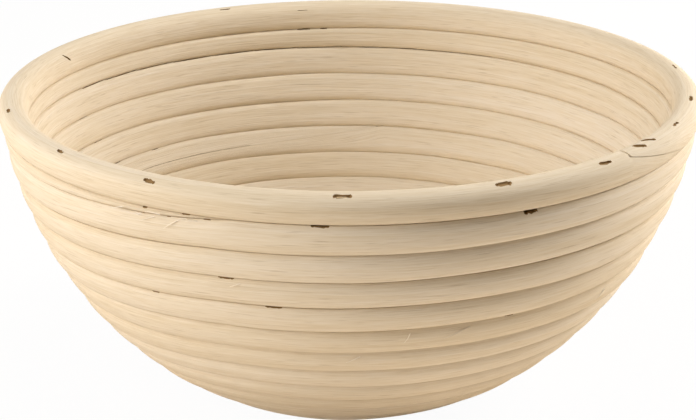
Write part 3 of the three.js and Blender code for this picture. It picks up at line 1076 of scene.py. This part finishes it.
def add_lamp(name, azimuth, elevation, distance, width, height, power):
    """A soft box that faces the basket, from one row of the lamps."""
    light = bpy.data.lights.new(name, "AREA")
    light.shape = "RECTANGLE"
    light.size = width
    light.size_y = height
    light.energy = power
    light.color = bpy.context.scene.basket_studio.lamp_colour
    lamp = bpy.data.objects.new(name, light)
    bpy.context.scene.collection.objects.link(lamp)
    round_by = math.radians(azimuth)
    up_by = math.radians(elevation)
    away = Vector((
        math.cos(round_by) * math.cos(up_by), math.sin(round_by) * math.cos(up_by), math.sin(up_by)))
    lamp.location = Vector(LAMP_AIM) + away * distance
    lamp.rotation_mode = "QUATERNION"
    lamp.rotation_quaternion = (-away).to_track_quat("-Z", "Y")


def add_camera(scene, studio):
    """The camera, which looks slightly down at the front of the basket."""
    camera = bpy.data.cameras.new("camera")
    camera.sensor_fit = "HORIZONTAL"
    camera.lens = camera.sensor_width * studio.lens_pixels / PICTURE_WIDTH
    camera.clip_start = NEAREST_SEEN
    eye = bpy.data.objects.new("camera", camera)
    scene.collection.objects.link(eye)
    tilt = Matrix.Rotation(math.pi / 2 - studio.camera_elevation, 4, "X")
    place = Vector((
        studio.aim_side, -studio.camera_distance * math.cos(studio.camera_elevation),
        studio.aim_height + studio.camera_distance * math.sin(studio.camera_elevation)))
    eye.matrix_world = Matrix.Translation(place) @ tilt @ Matrix.Rotation(studio.camera_roll, 4, "Z")
    scene.camera = eye


def add_floor(scene):
    """The plain floor, just under the basket."""
    mesh = bpy.data.meshes.new("floor")
    corners = [(x * FLOOR_REACH, y * FLOOR_REACH, 0) for x, y in ((-1, -1), (1, -1), (1, 1), (-1, 1))]
    mesh.from_pydata(corners, [], [(0, 1, 2, 3)])
    floor = bpy.data.objects.new("floor", mesh)
    floor.location.z = -FLOOR_DROP
    scene.collection.objects.link(floor)
    mesh.materials.append(floor_material())


class BASKET_OT_stage(bpy.types.Operator):
    """Sets the camera, the white floor and the soft boxes"""

    bl_idname = "basket.stage"
    bl_label = "Set stage"

    def execute(self, context):
        scene = context.scene
        scene.view_settings.view_transform = "Standard"
        add_camera(scene, scene.basket_studio)
        for row in LAMPS:
            add_lamp(*row)
        add_floor(scene)
        set_world(scene, scene.basket_studio.ambient)
        return {"FINISHED"}


def seen_directly(tree):
    """1 for rays that show the background: straight from the camera, mirrored, or through glass."""
    path = add_node(tree, "LightPath", {}).outputs
    either = add_node(tree, "Math", {
        0: path["Is Camera Ray"], 1: path["Is Glossy Ray"]}, operation="MAXIMUM")
    return add_node(tree, "Math", {
        0: either.outputs[0], 1: path["Is Transmission Ray"]}, operation="MAXIMUM")


def floor_material():
    """White card, matt: it keeps a faint shadow and otherwise shows as the white of the background."""
    studio = bpy.context.scene.basket_studio
    made, tree = new_material("White card matt")
    card = add_node(tree, "BsdfDiffuse", {"Color": (*studio.floor_colour, 1)})
    white = add_node(tree, "Emission", {"Color": (1, 1, 1, 1), "Strength": 1})
    share = add_node(tree, "Math", {0: seen_directly(tree).outputs[0], 1: 1 - studio.floor_shadow},
                     operation="MULTIPLY")
    mixed = add_node(tree, "MixShader", {0: share.outputs[0], 1: card.outputs[0], 2: white.outputs[0]})
    add_node(tree, "OutputMaterial", {"Surface": mixed.outputs[0]})
    return made


def set_world(scene, strength):
    """White for rays that show the background, and light on the basket of the strength that is given."""
    world = bpy.data.worlds.new("White studio")
    world.use_nodes = True
    tree = world.node_tree
    tree.nodes.clear()
    dim = add_node(tree, "Background", {"Color": (1, 1, 1, 1), "Strength": strength})
    white = add_node(tree, "Background", {"Color": (1, 1, 1, 1), "Strength": 1})
    mixed = add_node(tree, "MixShader", {
        0: seen_directly(tree).outputs[0], 1: dim.outputs[0], 2: white.outputs[0]})
    add_node(tree, "OutputWorld", {"Surface": mixed.outputs[0]})
    scene.world = world


class BASKET_PT_panel(bpy.types.Panel):
    """Lists the basket's sizes and the steps that make it"""

    bl_label = "Proofing basket"
    bl_idname = "BASKET_PT_panel"
    bl_space_type = "VIEW_3D"
    bl_region_type = "UI"
    bl_category = "Basket"

    def draw(self, context):
        for group in (context.scene.basket_sizes, context.scene.basket_finish, context.scene.basket_studio):
            box = self.layout.box()
            for name in type(group).__annotations__:
                box.prop(group, name)
        for step in STEPS:
            self.layout.operator(step.bl_idname)


STEPS = (
    BASKET_OT_base_cane,
    BASKET_OT_wall_cane,
    BASKET_OT_rim_cane,
    BASKET_OT_staples,
    BASKET_OT_frayed_fibres,
    BASKET_OT_stage,
)
GROUPS = {"basket_sizes": BasketSizes, "basket_finish": BasketFinish, "basket_studio": StudioSizes}


def register():
    """Registers the groups of sizes and colours, the steps and the panel."""
    for name, group in GROUPS.items():
        bpy.utils.register_class(group)
        setattr(bpy.types.Scene, name, bpy.props.PointerProperty(type=group))
    for made in (*STEPS, BASKET_PT_panel):
        bpy.utils.register_class(made)


def unregister():
    """Takes out all that register has put in."""
    for made in (BASKET_PT_panel, *reversed(STEPS)):
        bpy.utils.unregister_class(made)
    for name, group in GROUPS.items():
        delattr(bpy.types.Scene, name)
        bpy.utils.unregister_class(group)


def main():
    """Makes the basket and its stage step by step."""
    register()
    bpy.ops.basket.base_cane()
    bpy.ops.basket.wall_cane()
    bpy.ops.basket.rim_cane()
    bpy.ops.basket.staples()
    bpy.ops.basket.frayed_fibres()
    bpy.ops.basket.stage()


if __name__ == "__main__":
    main()
